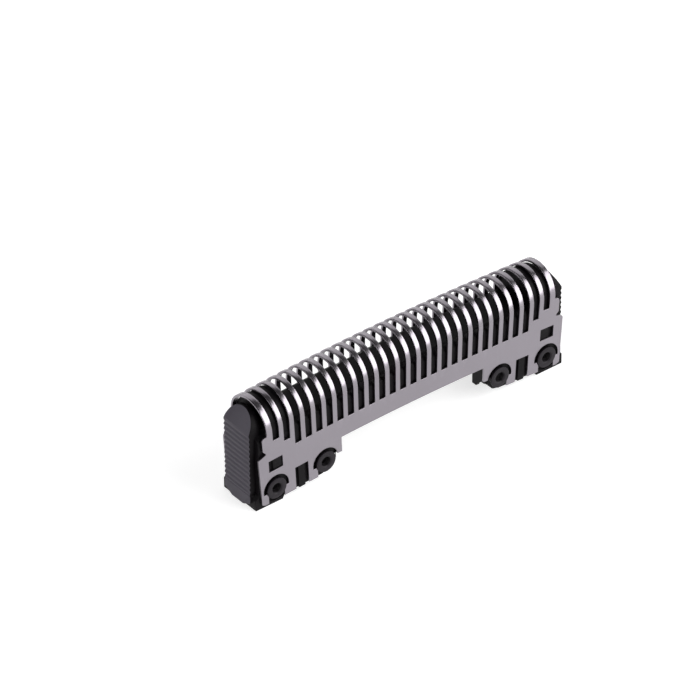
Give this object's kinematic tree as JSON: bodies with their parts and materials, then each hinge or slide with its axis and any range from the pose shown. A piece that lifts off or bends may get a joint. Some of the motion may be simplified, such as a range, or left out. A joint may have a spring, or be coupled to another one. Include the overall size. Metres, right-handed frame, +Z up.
{
  "type": "shaver blade",
  "caption": "Inner cutter of a foil shaver: a bowed arch of slotted steel, staked onto a black moulded base with ridged grip ends and hooks for the drive.",
  "frame": {"origin": "centre of the plane on which the two feet stand", "axes": "+X along the blade, +Y across it, +Z up towards the crown of the arch"},
  "size_m": [0.0408, 0.0062, 0.0127],
  "materials": {
    "steel": "etched stainless sheet, satin on the flats and burnished on the ribs",
    "base": "moulded black, fine grain on the grips"
  },
  "bodies": {
    "root": {"cutter_sheet": "steel", "moulded_base": "base"}
  },
  "joints": []
}
